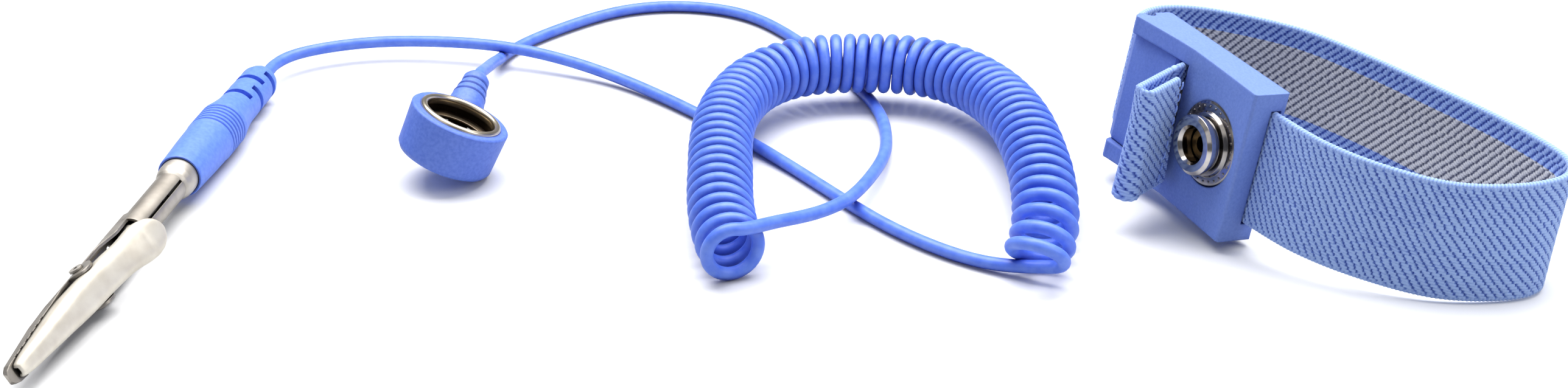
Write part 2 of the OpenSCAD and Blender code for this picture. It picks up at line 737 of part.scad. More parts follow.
// Middle of the band round the wrist opening, and its direction across.
loop_mid = [
    on_buckle([half_l - 2, strap_z]), on_buckle([half_l + 0.6, strap_z]), [83.2, -27.4, 13],
    [91.5, -33.4, 11.8], [102, -37.2, 10.5], [112.5, -37.2, 10.1], [119.3, -34.4, 10.15],
    [121.8, -28.7, 10.15], [120.4, -21.9, 10.3], [115.8, -12.4, 10.6], [108.8, -2.3, 11.2],
    [99.4, 9, 12.3], [88.8, 18.2, 13.6], [74.6, 22.8, 15.2], [65.4, 22, 16.1],
    [60.3, 17.2, 16.4], on_buckle([-half_l - 1.4, strap_z]), on_buckle([-half_l + 2, strap_z])
];
loop_up = [
    by, by, [0.13, 0, 1], [0.08, 0, 1], [0.02, 0.02, 1], [0.03, 0.04, 1], [0.1, 0.06, 1],
    [0.12, 0.02, 1], [0.08, 0, 1], [0.04, -0.02, 1], [0.03, -0.04, 1], [0.04, -0.04, 1],
    [0.09, -0.04, 1], [0.14, -0.02, 1], [0.15, 0, 1], by, by, by
];

// The tail turns up through the slot, stands out of the buckle and ends in a fold.
lean = 20;
bend_r = 1.6;
fold_r = 1.4;
tail_l = 14.4;
hem_l = 7;
function arc(mid, r, from, to, n) =
    [for (i = [0 : n]) let (a = from + (to - from) * i / n) mid + r * [cos(a), sin(a)]];
tail_skew = -0.16;
tail_dir = [sin(lean), cos(lean)];
tail_side = [cos(lean), -sin(lean)];
bend_mid = [-5.6, strap_z + bend_r];
tail_from = bend_mid + bend_r * tail_side;
fold_mid = tail_from + tail_l * tail_dir + fold_r * tail_side;
hem_to = fold_mid + fold_r * tail_side - hem_l * tail_dir;
tail_line = concat(
    arc(bend_mid, bend_r, -84, -lean, 6),
    [tail_from + 5.2 * tail_dir],
    arc(fold_mid, fold_r, 180 - lean, -lean, 10),
    [hem_to]
);

loop_steps = 4;
band_line = concat(
    [on_buckle([0.4, strap_z])],
    spline(loop_mid, loop_steps),
    [for (x = [-14, -9, bend_mid[0] - 0.3]) on_buckle([x, strap_z])]
);
band_ups = concat([by], spline(loop_up, loop_steps), [by, by, by]);
tail_path = [for (p = tail_line) on_buckle(p, tail_skew * max(0, p[1] - 8))];
tail_ups = [for (p = tail_line) by];

// A cross-section `c`, as [across, out] corners, carried along a line.
// Faces on both sides of it split along the same diagonal, so layers stay parallel.
module ribbon(line, ups, c) {
    last = len(line) - 1;
    m = len(c);
    points = [
        for (i = [0 : last])
            let (along = tangent(line, i), u = lay_flat(ups[i], along), n = cross(along, u))
                for (p = c) line[i] + p[0] * u + p[1] * n
    ];
    walls = [
        for (i = [0 : last - 1]) for (k = [0 : m - 1])
            let (a = i * m + k, b = i * m + (k + 1) % m, rising = c[(k + 1) % m][0] > c[k][0])
                for (f = rising
                    ? [[a, a + m, b + m], [a, b + m, b]]
                    : [[a, a + m, b], [b, a + m, b + m]]) f
    ];
    ends = [[for (k = [0 : m - 1]) k], [for (k = [m - 1 : -1 : 0]) last * m + k]];
    difference() {
        bench() polyhedron(points, concat(ends, walls), convexity = 8);
        buckle_frame() translate([stud_x, stud_y, 0]) cylinder(r = 2, h = 5);
    }
}

module fabric(line, ups) {
    w = band_w / 2;
    t = band_t / 2;
    l = lining_w / 2;
    ribbon(line, ups, [[-w, -t], [-l, -t], [l, -t], [w, -t], [w, t], [-w, t]]);
}

module lining(line, ups) {
    w = lining_w / 2;
    near = -band_t / 2 - 0.02;
    far = near - lining_t;
    ribbon(line, ups, [[-w, far], [w, far], [w, near], [-w, near]]);
}

module band_fabric() {
    color(light_blue) fabric(band_line, band_ups);
}

module band_lining() {
    color(knit_grey) lining(band_line, band_ups);
}

// The loose end of the band, which swings about the bend in the slot.
module tail_fabric() {
    color(light_blue) fabric(tail_path, tail_ups);
}

module tail_lining() {
    color(knit_grey) lining(tail_path, tail_ups);
}

// Thread along the foot of the hem, seen on its outer face.
module hem_stitches() {
    at = hem_to + 1.1 * tail_dir + (band_t / 2 + 0.17) * tail_side;
    color(light_blue) buckle_frame() for (i = [-4 : 4])
        translate([at[0], i * 2.1, at[1]]) rotate([90, 0, 0])
            cylinder(r = 0.15, h = 1.5, center = true);
}

cord_jacket();
plug_cord_end();
plug_conductor();
plug_grip();
plug_pin();
plug_contact_cage();
clip_lower_jaw();
clip_upper_jaw();
clip_rivet();
clip_spring();
snap_cord_end();
snap_cap();
snap_conductor();
resistor_body();
resistor_leads();
socket_terminal();
socket_shell();
socket_spring();
socket_rivet();
buckle_body();
buckle_flap();
flap_pin();
contact_plate();
snap_stud();
stud_rivet();
band_fabric();
band_lining();
tail_fabric();
tail_lining();
hem_stitches();
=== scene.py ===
import math
import bmesh
import bpy
import numpy as np
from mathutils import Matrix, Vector


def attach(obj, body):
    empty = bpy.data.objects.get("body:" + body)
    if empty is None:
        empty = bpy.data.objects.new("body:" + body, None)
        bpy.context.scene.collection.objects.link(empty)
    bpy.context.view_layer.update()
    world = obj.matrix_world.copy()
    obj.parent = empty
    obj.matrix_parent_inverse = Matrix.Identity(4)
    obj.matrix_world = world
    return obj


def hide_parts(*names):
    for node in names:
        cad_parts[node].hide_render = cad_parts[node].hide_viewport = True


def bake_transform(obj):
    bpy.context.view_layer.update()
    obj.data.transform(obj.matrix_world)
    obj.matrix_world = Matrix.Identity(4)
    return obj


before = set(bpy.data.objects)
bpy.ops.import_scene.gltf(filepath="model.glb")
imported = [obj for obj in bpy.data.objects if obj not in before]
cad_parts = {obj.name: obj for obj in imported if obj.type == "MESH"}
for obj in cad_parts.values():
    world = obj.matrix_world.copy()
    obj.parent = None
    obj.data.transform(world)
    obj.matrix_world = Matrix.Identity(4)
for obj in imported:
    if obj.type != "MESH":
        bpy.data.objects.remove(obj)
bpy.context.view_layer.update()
scene = bpy.context.scene
rng = np.random.default_rng(11)

# ---- the bench layout, in millimetres ----

BENCH_MID = np.array([5.2, 9.5, 0.0])
Z = np.array([0.0, 0.0, 1.0])


def unit(v):
    v = np.asarray(v, float)
    return v / np.linalg.norm(v)


def row(p):
    """Bench millimetres as metres in the row frame."""
    return (np.asarray(p, float) - BENCH_MID) / 1000


def turn_x(a):
    c, s = math.cos(a), math.sin(a)
    return np.array([[1, 0, 0], [0, c, -s], [0, s, c]])


def turn_y(a):
    c, s = math.cos(a), math.sin(a)
    return np.array([[c, 0, s], [0, 1, 0], [-s, 0, c]])


def turn_z(a):
    c, s = math.cos(a), math.sin(a)
    return np.array([[c, -s, 0], [s, c, 0], [0, 0, 1]])


def aim(d):
    d = unit(d)
    return turn_z(math.atan2(d[1], d[0])) @ turn_y(math.acos(d[2]))


RIM = np.array([-102.4, -3.3, 4.95])
JAW_TIP = np.array([-111.4, -65.6, 3.5])
GRIP_TAIL = np.array([-97.0, 46.0, 3.73])
GRIP_AXIS = unit(GRIP_TAIL - RIM)
PIN_AXIS = unit(RIM - JAW_TIP)
PLUG_BEND = GRIP_TAIL + 5 * GRIP_AXIS
CAP = np.array([-59.3, 6.6, 3.3])
tilt_a, tilt_b = math.radians(24.9), math.radians(14.6)
CAP_AXIS = np.array([
    math.sin(tilt_a) * math.cos(tilt_b), math.sin(tilt_a) * math.sin(tilt_b), math.cos(tilt_a)])
CAP_X = np.array([
    math.cos(tilt_a) * math.cos(tilt_b), math.cos(tilt_a) * math.sin(tilt_b), -math.sin(tilt_a)])
CAP_Y = np.cross(CAP_AXIS, CAP_X)
NECK_X = math.cos(math.radians(74)) * CAP_X + math.sin(math.radians(74)) * CAP_Y
NECK_AXIS = math.cos(math.radians(30)) * NECK_X + math.sin(math.radians(30)) * CAP_AXIS
NECK_ROOT = CAP + 6.4 * NECK_X + 4 * CAP_AXIS
SNAP_BEND = NECK_ROOT + 13.9 * NECK_AXIS
LEAD_AXIS = np.array([0, 0.95, -0.312])

CLIP = aim(PIN_AXIS) @ turn_z(math.radians(-119)) @ turn_x(math.pi)
CLIP_AT = RIM - 4.1 * PIN_AXIS

BUCKLE = turn_z(math.radians(-63.7)) @ turn_y(math.radians(3.5)) @ turn_x(math.radians(81.6))
BUCKLE_AT = np.array([71.2, -3.6, 15.0])
BX, BY, BZ = BUCKLE[:, 0], BUCKLE[:, 1], BUCKLE[:, 2]


def on_clip(p):
    return CLIP_AT + np.asarray(p, float) @ CLIP.T


def on_buckle(x, z, y=0.0):
    return BUCKLE_AT + x * BX + y * BY + z * BZ


# ---- curves and meshes ----

def spline(points, steps):
    """Catmull-Rom curve through the inner points; the outer two only steer it."""
    p = np.asarray(points, float)
    t = (np.arange(steps) / steps)[:, None]
    out = []
    for i in range(1, len(p) - 2):
        a, b, c, d = p[i - 1], p[i], p[i + 1], p[i + 2]
        out.append(0.5 * (2 * b + (c - a) * t + (2 * a - 5 * b + 4 * c - d) * t ** 2
                          + (3 * b - a - 3 * c + d) * t ** 3))
    out.append(p[-2][None])
    return np.concatenate(out)


def smooth(x):
    x = np.clip(x, 0, 1)
    return x * x * (3 - 2 * x)


def lengths(p):
    return np.concatenate([[0], np.cumsum(np.linalg.norm(np.diff(p, axis=0), axis=1))])


def resample(p, step, *others):
    s = lengths(p)
    n = max(2, int(round(s[-1] / step)) + 1)
    t = np.linspace(0, s[-1], n)
    res = [np.stack([np.interp(t, s, q[:, k]) for k in range(q.shape[1])], 1)
           for q in (p,) + others]
    return [t] + res


def tangents(p):
    d = np.gradient(p, axis=0)
    return d / np.linalg.norm(d, axis=1)[:, None]


def grid_mesh(name, verts, wrap_across=False, caps=False, attribute=None):
    """Object from a grid of bench points [along, across, 3]."""
    n, m = verts.shape[:2]
    idx = np.arange(n * m).reshape(n, m)
    if wrap_across:
        idx = np.concatenate([idx, idx[:, :1]], 1)
    a, b = idx[:-1, :-1], idx[1:, :-1]
    c, d = idx[1:, 1:], idx[:-1, 1:]
    quads = np.stack([a, b, c, d], -1).reshape(-1, 4)
    flat = row(verts.reshape(-1, 3))
    mesh = bpy.data.meshes.new(name)
    loops = [quads.ravel()]
    sizes = [np.full(len(quads), 4)]
    if caps and wrap_across:
        loops += [idx[0, :-1], idx[-1, :-1][::-1]]
        sizes += [np.array([m]), np.array([m])]
    loops, sizes = np.concatenate(loops), np.concatenate(sizes)
    mesh.vertices.add(len(flat))
    mesh.vertices.foreach_set("co", flat.astype(np.float32).ravel())
    mesh.loops.add(len(loops))
    mesh.loops.foreach_set("vertex_index", loops.astype(np.int32))
    mesh.polygons.add(len(sizes))
    starts = np.concatenate([[0], np.cumsum(sizes)[:-1]])
    mesh.polygons.foreach_set("loop_start", starts.astype(np.int32))
    mesh.update(calc_edges=True)
    mesh.polygons.foreach_set("use_smooth", np.ones(len(sizes), bool))
    # The attribute carries the knit's relief, used to paint shade and highlight into the colour.
    if attribute is not None:
        layer = mesh.attributes.new("relief_shade", "FLOAT", "POINT")
        layer.data.foreach_set("value", attribute.astype(np.float32).ravel())
    obj = bpy.data.objects.new(name, mesh)
    scene.collection.objects.link(obj)
    return obj


def tube(name, path, radius, sides, caps=True):
    t = tangents(path)
    n = np.zeros_like(path)
    first = Z if abs(t[0] @ Z) < 0.9 else np.array([1.0, 0, 0])
    n[0] = unit(first - (first @ t[0]) * t[0])
    for i in range(1, len(path)):
        v = n[i - 1] - (n[i - 1] @ t[i]) * t[i]
        n[i] = v / np.linalg.norm(v)
    b = np.cross(t, n)
    a = np.linspace(0, 2 * math.pi, sides, endpoint=False)
    r = np.broadcast_to(np.asarray(radius, float), (len(path),))
    verts = path[:, None] + r[:, None, None] * (
        np.cos(a)[None, :, None] * n[:, None] + np.sin(a)[None, :, None] * b[:, None])
    return grid_mesh(name, verts, wrap_across=True, caps=caps)


def close_ends(obj, n, m):
    """Joins the outside and inside of a shell at its two ends."""
    bm = bmesh.new()
    bm.from_mesh(obj.data)
    bm.verts.ensure_lookup_table()
    for base in (0, (n - 1) * m):
        for k in range(m // 2 - 1):
            q = [base + k, base + k + 1, base + m - 2 - k, base + m - 1 - k]
            f = bm.faces.new([bm.verts[i] for i in q])
            f.smooth = True
    bmesh.ops.recalc_face_normals(bm, faces=bm.faces)
    bm.to_mesh(obj.data)
    bm.free()


# ---- materials ----

def linear(rgb):
    c = np.array(rgb, float) / 255
    return tuple(np.where(c <= 0.04045, c / 12.92, ((c + 0.055) / 1.055) ** 2.4)) + (1.0,)


class Finish:
    """A procedural material: base colour broken up by noise, with a fine bump."""

    def __init__(self, name, dark, light, rough=0.5, metal=0.0, grain=900.0, vary=0.5,
                 bump=0.1, depth=0.00005, bevel=0.0, coat=0.0, sheen=0.0, spec=0.5, soft=0.0):
        self.mat = bpy.data.materials.new(name)
        self.mat.use_nodes = True
        self.tree = self.mat.node_tree
        self.bsdf = self.tree.nodes["Principled BSDF"]
        self.coord = self.new("ShaderNodeTexCoord")
        noise = self.new("ShaderNodeTexNoise")
        noise.inputs["Scale"].default_value = grain
        noise.inputs["Detail"].default_value = 5
        self.link(self.coord.outputs["Object"], noise.inputs["Vector"])
        self.noise = noise
        ramp = self.new("ShaderNodeValToRGB")
        ramp.color_ramp.elements[0].position = 0.5 - 0.3 * vary
        ramp.color_ramp.elements[1].position = 0.5 + 0.3 * vary
        ramp.color_ramp.elements[0].color = linear(dark)
        ramp.color_ramp.elements[1].color = linear(light)
        self.link(noise.outputs["Fac"], ramp.inputs["Fac"])
        self.color = ramp.outputs["Color"]
        self.link(self.color, self.bsdf.inputs["Base Color"])
        self.bsdf.inputs["Roughness"].default_value = rough
        self.bsdf.inputs["Metallic"].default_value = metal
        self.bsdf.inputs["Specular IOR Level"].default_value = spec
        self.bsdf.inputs["Coat Weight"].default_value = coat
        self.bsdf.inputs["Coat Roughness"].default_value = 0.25
        self.bsdf.inputs["Sheen Weight"].default_value = sheen
        self.bsdf.inputs["Sheen Roughness"].default_value = 0.4
        if soft:
            self.bsdf.inputs["Subsurface Weight"].default_value = soft
            self.bsdf.inputs["Subsurface Scale"].default_value = 0.001
            self.bsdf.inputs["Subsurface Radius"].default_value = (0.5, 0.7, 1.0)
        node = self.new("ShaderNodeBump")
        node.inputs["Strength"].default_value = bump
        node.inputs["Distance"].default_value = depth
        self.link(noise.outputs["Fac"], node.inputs["Height"])
        if bevel:
            edge = self.new("ShaderNodeBevel")
            edge.samples = 6
            edge.inputs["Radius"].default_value = bevel
            self.link(edge.outputs["Normal"], node.inputs["Normal"])
        self.bump = node
        self.link(node.outputs["Normal"], self.bsdf.inputs["Normal"])

    def new(self, kind):
        return self.tree.nodes.new(kind)

    def link(self, a, b):
        self.tree.links.new(a, b)

    def put(self, *objects):
        for o in objects:
            o.data.materials.clear()
            o.data.materials.append(self.mat)
        return self

    def paint_crease_shade(self, dark, distance, power=1.0):
        """Paints shade into the colour: ambient occlusion darkens it towards dark in creases and
        hollows.
        """
        ao = self.new("ShaderNodeAmbientOcclusion")
        ao.inputs["Distance"].default_value = distance
        ao.samples = 6
        gamma = self.new("ShaderNodeMath")
        gamma.operation = "POWER"
        gamma.inputs[1].default_value = power
        self.link(ao.outputs["AO"], gamma.inputs[0])
        mix = self.new("ShaderNodeMix")
        mix.data_type = "RGBA"
        mix.inputs["A"].default_value = linear(dark)
        self.link(gamma.outputs["Value"], mix.inputs["Factor"])
        self.link(self.color, mix.inputs["B"])
        self.color = mix.outputs["Result"]
        self.link(self.color, self.bsdf.inputs["Base Color"])
        return self

    def zone(self, origin, axis, stops):
        """Colour by distance in millimetres from origin along axis."""
        shift = self.new("ShaderNodeVectorMath")
        shift.operation = "SUBTRACT"
        shift.inputs[1].default_value = tuple(row(origin))
        dot = self.new("ShaderNodeVectorMath")
        dot.operation = "DOT_PRODUCT"
        dot.inputs[1].default_value = tuple(axis)
        scale = self.new("ShaderNodeMath")
        scale.operation = "MULTIPLY"
        scale.inputs[1].default_value = 100
        ramp = self.new("ShaderNodeValToRGB")
        first, last = stops[0], stops[-1]
        ramp.color_ramp.elements[0].position = first[0] / 10
        ramp.color_ramp.elements[0].color = linear(first[1])
        ramp.color_ramp.elements[1].position = last[0] / 10
        ramp.color_ramp.elements[1].color = linear(last[1])
        for at, rgb in stops[1:-1]:
            ramp.color_ramp.elements.new(at / 10).color = linear(rgb)
        self.link(self.coord.outputs["Object"], shift.inputs[0])
        self.link(shift.outputs["Vector"], dot.inputs[0])
        self.link(dot.outputs["Value"], scale.inputs[0])
        self.link(scale.outputs["Value"], ramp.inputs["Fac"])
        mix = self.new("ShaderNodeMix")
        mix.data_type = "RGBA"
        mix.blend_type = "MULTIPLY"
        mix.inputs["Factor"].default_value = 1
        self.link(self.color, mix.inputs["A"])
        self.link(ramp.outputs["Color"], mix.inputs["B"])
        self.color = mix.outputs["Result"]
        self.link(self.color, self.bsdf.inputs["Base Color"])
        return self

    def shade_by_relief(self, low, mid, high):
        """Paints the knit's light and shade from its relief: painted shade in the gaps, the
        sides between, painted highlight on the tops of the stitches.
        """
        value = self.new("ShaderNodeAttribute")
        value.attribute_name = "relief_shade"
        add = self.new("ShaderNodeMath")
        add.operation = "MULTIPLY_ADD"
        add.inputs[1].default_value = 0.25
        self.link(self.noise.outputs["Fac"], add.inputs[0])
        self.link(value.outputs["Fac"], add.inputs[2])
        ramp = self.new("ShaderNodeValToRGB")
        ramp.color_ramp.elements[0].position = 0.12
        ramp.color_ramp.elements[0].color = linear(low)
        ramp.color_ramp.elements[1].position = 1.05
        ramp.color_ramp.elements[1].color = linear(high)
        middle = ramp.color_ramp.elements.new(0.55)
        middle.color = linear(mid)
        self.link(add.outputs["Value"], ramp.inputs["Fac"])
        self.color = ramp.outputs["Color"]
        self.link(self.color, self.bsdf.inputs["Base Color"])
        return self


# The ambient-occlusion colours below are painted shade: they darken each base colour in creases,
# grooves and hollows.
cord_finish = Finish("cord_vinyl", (92, 130, 243), (112, 148, 248), rough=0.38, grain=500,
                     bump=0.08, depth=0.0001, soft=0.1).paint_crease_shade((30, 45, 160), 0.002, 1.3)
grip_finish = Finish("moulded_vinyl", (98, 136, 246), (112, 150, 250), rough=0.45, grain=1500,
                     bump=0.12, depth=0.0001, bevel=0.0001, soft=0.1).paint_crease_shade(
                         (34, 52, 160), 0.0014, 1.5)
# The cap's blue is a darker copy of the moulded vinyl: painted shade for its shaded side walls.
shaded_cap_finish = Finish("shaded_cap_vinyl", (92, 124, 224), (108, 140, 234), rough=0.5, grain=1800,
                    bump=0.15, depth=0.0001, bevel=0.0005, soft=0.1).paint_crease_shade(
                        (40, 56, 150), 0.002)
buckle_finish = Finish("matt_buckle", (108, 136, 214), (126, 154, 228), rough=0.6, grain=2600,
                       vary=0.9, bump=0.35, depth=0.0001, bevel=0.0005, soft=0.1).paint_crease_shade(
                           (40, 56, 140), 0.003)
nickel = Finish("satin_nickel", (206, 199, 188), (222, 215, 204), rough=0.46, metal=0.8,
                grain=300, bump=0.05, depth=0.0002, bevel=0.0002).paint_crease_shade(
                    (34, 32, 34), 0.003, 1.5)
# The lever's nickel is a lighter, less metallic copy of the nickel: painted light on the lever's
# lit top.
lit_lever_nickel = Finish("lit_lever_nickel", (228, 219, 203), (244, 237, 222), rough=0.44, metal=0.5,
                      grain=300, bump=0.05, depth=0.0002, bevel=0.0002).paint_crease_shade(
                          (34, 32, 34), 0.003, 1.5)
# The lower jaw's nickel is a darker copy of the nickel: painted shade for the jaw beneath the
# lever.
shaded_jaw_nickel = Finish("shaded_jaw_nickel", (178, 170, 159), (200, 192, 181), rough=0.4, metal=0.85,
                    grain=300, bump=0.05, depth=0.0002, bevel=0.0002).paint_crease_shade(
                        (30, 28, 30), 0.004, 1.6)
# Bands by depth along the cap axis: the dark bands are painted shade down the socket's hollow
# and the bright bands are painted highlights on its rims.
socket_metal_shade_and_glint = Finish("socket_metal_shade_and_glint", (226, 218, 204), (240, 232, 218), rough=0.3, metal=1.0,
                      grain=300, bump=0.05, bevel=0.0001).zone(CAP, CAP_AXIS, [
                          (3.0, (40, 32, 26)), (5.85, (52, 42, 34)), (5.95, (210, 200, 185)),
                          (6.25, (210, 200, 185)), (6.4, (44, 36, 30)), (7.6, (70, 60, 50)),
                          (8.1, (225, 216, 200)), (9.4, (255, 250, 240))])
bright = Finish("bright_nickel", (186, 180, 176), (214, 208, 202), rough=0.15, metal=1.0,
                grain=400, bump=0.03, depth=0.0001, bevel=0.00015).paint_crease_shade(
                    (40, 38, 40), 0.003, 1.4)
steel = Finish("brushed_plate", (170, 170, 172), (200, 200, 202), rough=0.32, metal=1.0,
               grain=700, bump=0.1, bevel=0.0001)
wire = Finish("drawn_wire", (150, 150, 152), (190, 190, 190), rough=0.3, metal=1.0, grain=1200)
brass = Finish("rivet_brass", (142, 112, 64), (176, 142, 88), rough=0.28, metal=1.0, grain=600,
               bevel=0.00015).paint_crease_shade((22, 16, 10), 0.004, 1.6)
# A darker, rougher copy of the rivet brass: the darker colour is painted shade for the socket's
# rivet.
dull_shaded_brass = Finish("dull_shaded_brass", (90, 70, 44), (120, 96, 60), rough=0.35, metal=1.0,
                    grain=600, bevel=0.0001)
lacquer = Finish("resistor_lacquer", (186, 158, 106), (204, 178, 126), rough=0.3, coat=0.5)
# In both knits below, the low colour is painted shade in the stitch gaps and the high colour a
# painted highlight on the stitch tops.
knit = Finish("band_knit", (140, 170, 245), (150, 180, 250), rough=0.85, grain=2600,
              bump=0.6, depth=0.00015, sheen=0.25, spec=0.2).shade_by_relief(
                  (42, 60, 152), (110, 138, 218), (172, 200, 252))
grey_knit = Finish("conductive_knit", (150, 150, 160), (170, 170, 175), rough=0.8, grain=2600,
                   bump=0.6, depth=0.00015, sheen=0.15, spec=0.25).shade_by_relief(
                       (56, 60, 92), (162, 164, 176), (230, 230, 234))

# ---- cord ----

CORD_R = 1.05
JACKET_R = 1.1
COIL_R = 4.45
TURNS = 59.58
SPACING = np.array([
    [-122, 3.68], [-112, 3.42], [-100, 3.18], [-85, 2.89], [-72, 2.71], [-60, 2.54],
    [-50, 2.5], [-42, 2.68], [-35, 2.78], [-28, 2.85], [-20, 2.86], [-10, 2.73],
    [0, 2.47], [8, 2.67], [15, 2.79], [22, 2.77], [30, 2.71], [38, 2.59], [46, 2.46],
    [60, 2.41], [75, 2.75], [85, 2.98], [95, 3.33], [101, 3.77], [106, 4.47], [111, 5],
    [117, 5.43], [121, 4.38], [125, 2.98]])
TIPPING = np.array([[-122, 0], [60, 0], [85, 10], [105, 24], [115, 35], [125, 48]])


def soft_power(v, e):
    return np.sign(v) * np.abs(v) ** e


def arch(a):
    a = np.asarray(a, float)
    r = np.radians(a)
    y = 44.3 * soft_power(np.cos(r), 0.8)
    e = np.clip((np.abs(a) - 68) / 52, 0, 1)
    lift = 2.4 * (1 - e * e * (3 - 2 * e))
    return np.stack([16.2 + 26.9 * soft_power(np.sin(r), 0.75) - 0.04 * np.maximum(0, y),
                     -5.8 + y, COIL_R + CORD_R + lift], -1)


arch_angles = np.linspace(-122, 124.6, 261)
steps_passed = np.linalg.norm(np.diff(arch(arch_angles), axis=0), axis=1) / np.interp(
    arch_angles[1:], SPACING[:, 0], SPACING[:, 1])
turn_share = np.concatenate([[0], np.cumsum(steps_passed)])
turn_share /= turn_share[-1]


def coil(q):
    q = np.atleast_1d(np.asarray(q, float))
    a = np.interp(q, turn_share, arch_angles)
    t = arch(a + 0.5) - arch(a - 0.5)
    t /= np.linalg.norm(t, axis=1)[:, None]
    side = np.cross(Z, t)
    side /= np.linalg.norm(side, axis=1)[:, None]
    up = np.cross(t, side)
    turn = np.radians(119 - 360 * TURNS * q)[:, None]
    tip = np.radians(np.interp(a, TIPPING[:, 0], TIPPING[:, 1]))[:, None]
    return arch(a) + COIL_R * (
        np.cos(turn) * side + np.sin(turn) * (np.cos(tip) * up + np.sin(tip) * t))


POINTS_PER_TURN = 40
SIDES = 14
count = int(math.ceil(TURNS * POINTS_PER_TURN))
near = 1 / math.ceil(TURNS * 10)
coil_path = coil(np.linspace(1, 0, count + 1))
plug_points = [
    GRIP_TAIL - 12 * GRIP_AXIS, GRIP_TAIL - 8 * GRIP_AXIS, GRIP_TAIL - 2 * GRIP_AXIS,
    GRIP_TAIL + 2 * GRIP_AXIS, PLUG_BEND + 0.6 * GRIP_AXIS,
    [-89.5, 56.2, 3.5], [-80, 59.4, 3.5], [-68, 59.2, 3.7], [-54.4, 56.3, 3.9],
    [-42, 52.0, 2.9], [-30.4, 45.5, 1.5], [-16.3, 31.4, 1.1], [-3.0, 14.5, 1.1],
    [6.2, 1.3, 1.1], [15.9, -12.6, 1.1], [25.5, -22.6, 1.1], [34, -28.2, 1.15],
    coil(1)[0], coil(1 - near)[0]]
snap_points = [
    coil(near)[0], coil(0)[0],
    [-1.9, -25.6, 7.9], [1.6, -21.8, 6.3], [5.6, -17.2, 5.1], [10.3, -11.3, 4.1],
    [14.4, -1.4, 3.4], [17.6, 10, 2.4], [18.4, 20, 1.4], [17.2, 33.6, 1.1], [9.5, 53, 1.1],
    [-4.7, 76.9, 1.1], [-18, 84.0, 1.1], [-33, 82.0, 1.1], [-48, 68.5, 1.1],
    [-54.5, 59, 1.1], [-54.9, 55.5, 1.4], [-54.9, 47, 4.6], [-54.8, 36, 8],
    SNAP_BEND + 1.0 * LEAD_AXIS, NECK_ROOT + 11.5 * NECK_AXIS, NECK_ROOT + 7 * NECK_AXIS,
    NECK_ROOT + 4 * NECK_AXIS]
plug_path = spline(plug_points, 12)[:-1]
snap_path = spline(snap_points, 12)[1:]
cord_path = np.concatenate([plug_path, coil_path, snap_path])
before_coil, after_coil = lengths(cord_path)[[len(plug_path), len(plug_path) + count]]
# The leads hang in smooth curves: they are relaxed everywhere but inside the moulded ends
# and in the coil.
SLACK_STEP = 0.5
RELAX_PASSES = 160
slack_along, slack = resample(cord_path, SLACK_STEP)
hold = np.clip(np.maximum(before_coil + 4 - slack_along, slack_along - after_coil + 4) / 8, 0, 1)
hold *= smooth(np.minimum((slack_along - 8.2) / 3, (slack_along[-1] - 9 - slack_along) / 6))
for _ in range(RELAX_PASSES):
    slack[1:-1] += 0.5 * hold[1:-1, None] * (
        (slack[:-2] + slack[2:]) / 2 - slack[1:-1])
lead_a = slack_along < before_coil - 0.2
lead_b = slack_along > after_coil + 0.2
in_coil = lengths(cord_path)
middle = np.stack([np.interp(in_coil, slack_along, slack[:, k]) for k in range(3)], 1)
near_end = np.clip(np.maximum(before_coil + 4 - in_coil, in_coil - after_coil + 4) / 4, 0, 1)
near_end = smooth(near_end)[:, None]
blended = cord_path * (1 - near_end) + middle * near_end
cord_path = np.concatenate([
    slack[lead_a], blended[len(plug_path):len(plug_path) + count + 1], slack[lead_b]])
along = lengths(cord_path)
plug_at = along[np.argmin(np.linalg.norm(cord_path - PLUG_BEND, axis=1))]
snap_at = along[np.argmin(np.linalg.norm(cord_path - SNAP_BEND, axis=1))]
# The jacket is cut 14 mm beyond each bend, into a separate piece over each bend.
FLEX_LENGTH = 14
cut_a = int(np.searchsorted(along, plug_at + FLEX_LENGTH))
cut_b = int(np.searchsorted(along, snap_at - FLEX_LENGTH))
cord_main = tube("cord_coil_and_leads", cord_path[cut_a:cut_b + 1], JACKET_R, SIDES, caps=False)
cord_plug = tube("cord_at_plug", cord_path[:cut_a + 1], JACKET_R, SIDES, caps=False)
cord_snap = tube("cord_at_snap", cord_path[cut_b:], JACKET_R, SIDES, caps=False)
cord_finish.put(cord_main, cord_plug, cord_snap)
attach(cord_main, "cord")
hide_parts("cord_jacket")
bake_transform(cord_plug)
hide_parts("plug_cord_end")
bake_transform(cord_snap)
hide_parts("snap_cord_end")

# ---- band ----

HALF_L = 33.3 / 2
STRAP_Z = 2.0
loop_mid = [
    on_buckle(HALF_L - 2, STRAP_Z), on_buckle(HALF_L + 0.6, STRAP_Z), [83.2, -27.4, 13],
    [91.5, -33.4, 11.8], [102, -37.2, 10.5], [112.5, -37.2, 10.1], [119.3, -34.4, 10.15],
    [121.8, -28.7, 10.15], [120.4, -21.9, 10.3], [115.8, -12.4, 10.6], [108.8, -2.3, 11.2],
    [99.4, 9, 12.3], [88.8, 18.2, 13.6], [74.6, 22.8, 15.2], [65.4, 22, 16.1],
    [60.3, 17.2, 16.4], on_buckle(-HALF_L - 1.4, STRAP_Z), on_buckle(-HALF_L + 2, STRAP_Z)]
loop_up = [
    BY, BY, [0.13, 0, 1], [0.08, 0, 1], [0.02, 0.02, 1], [0.03, 0.04, 1], [0.1, 0.06, 1],
    [0.12, 0.02, 1], [0.08, 0, 1], [0.04, -0.02, 1], [0.03, -0.04, 1], [0.04, -0.04, 1],
    [0.09, -0.04, 1], [0.14, -0.02, 1], [0.15, 0, 1], BY, BY, BY]
band_path = np.concatenate([
    [on_buckle(0.4, STRAP_Z)], spline(loop_mid, 24),
    [on_buckle(-14, STRAP_Z), on_buckle(-9, STRAP_Z), on_buckle(-5.9, STRAP_Z)]])
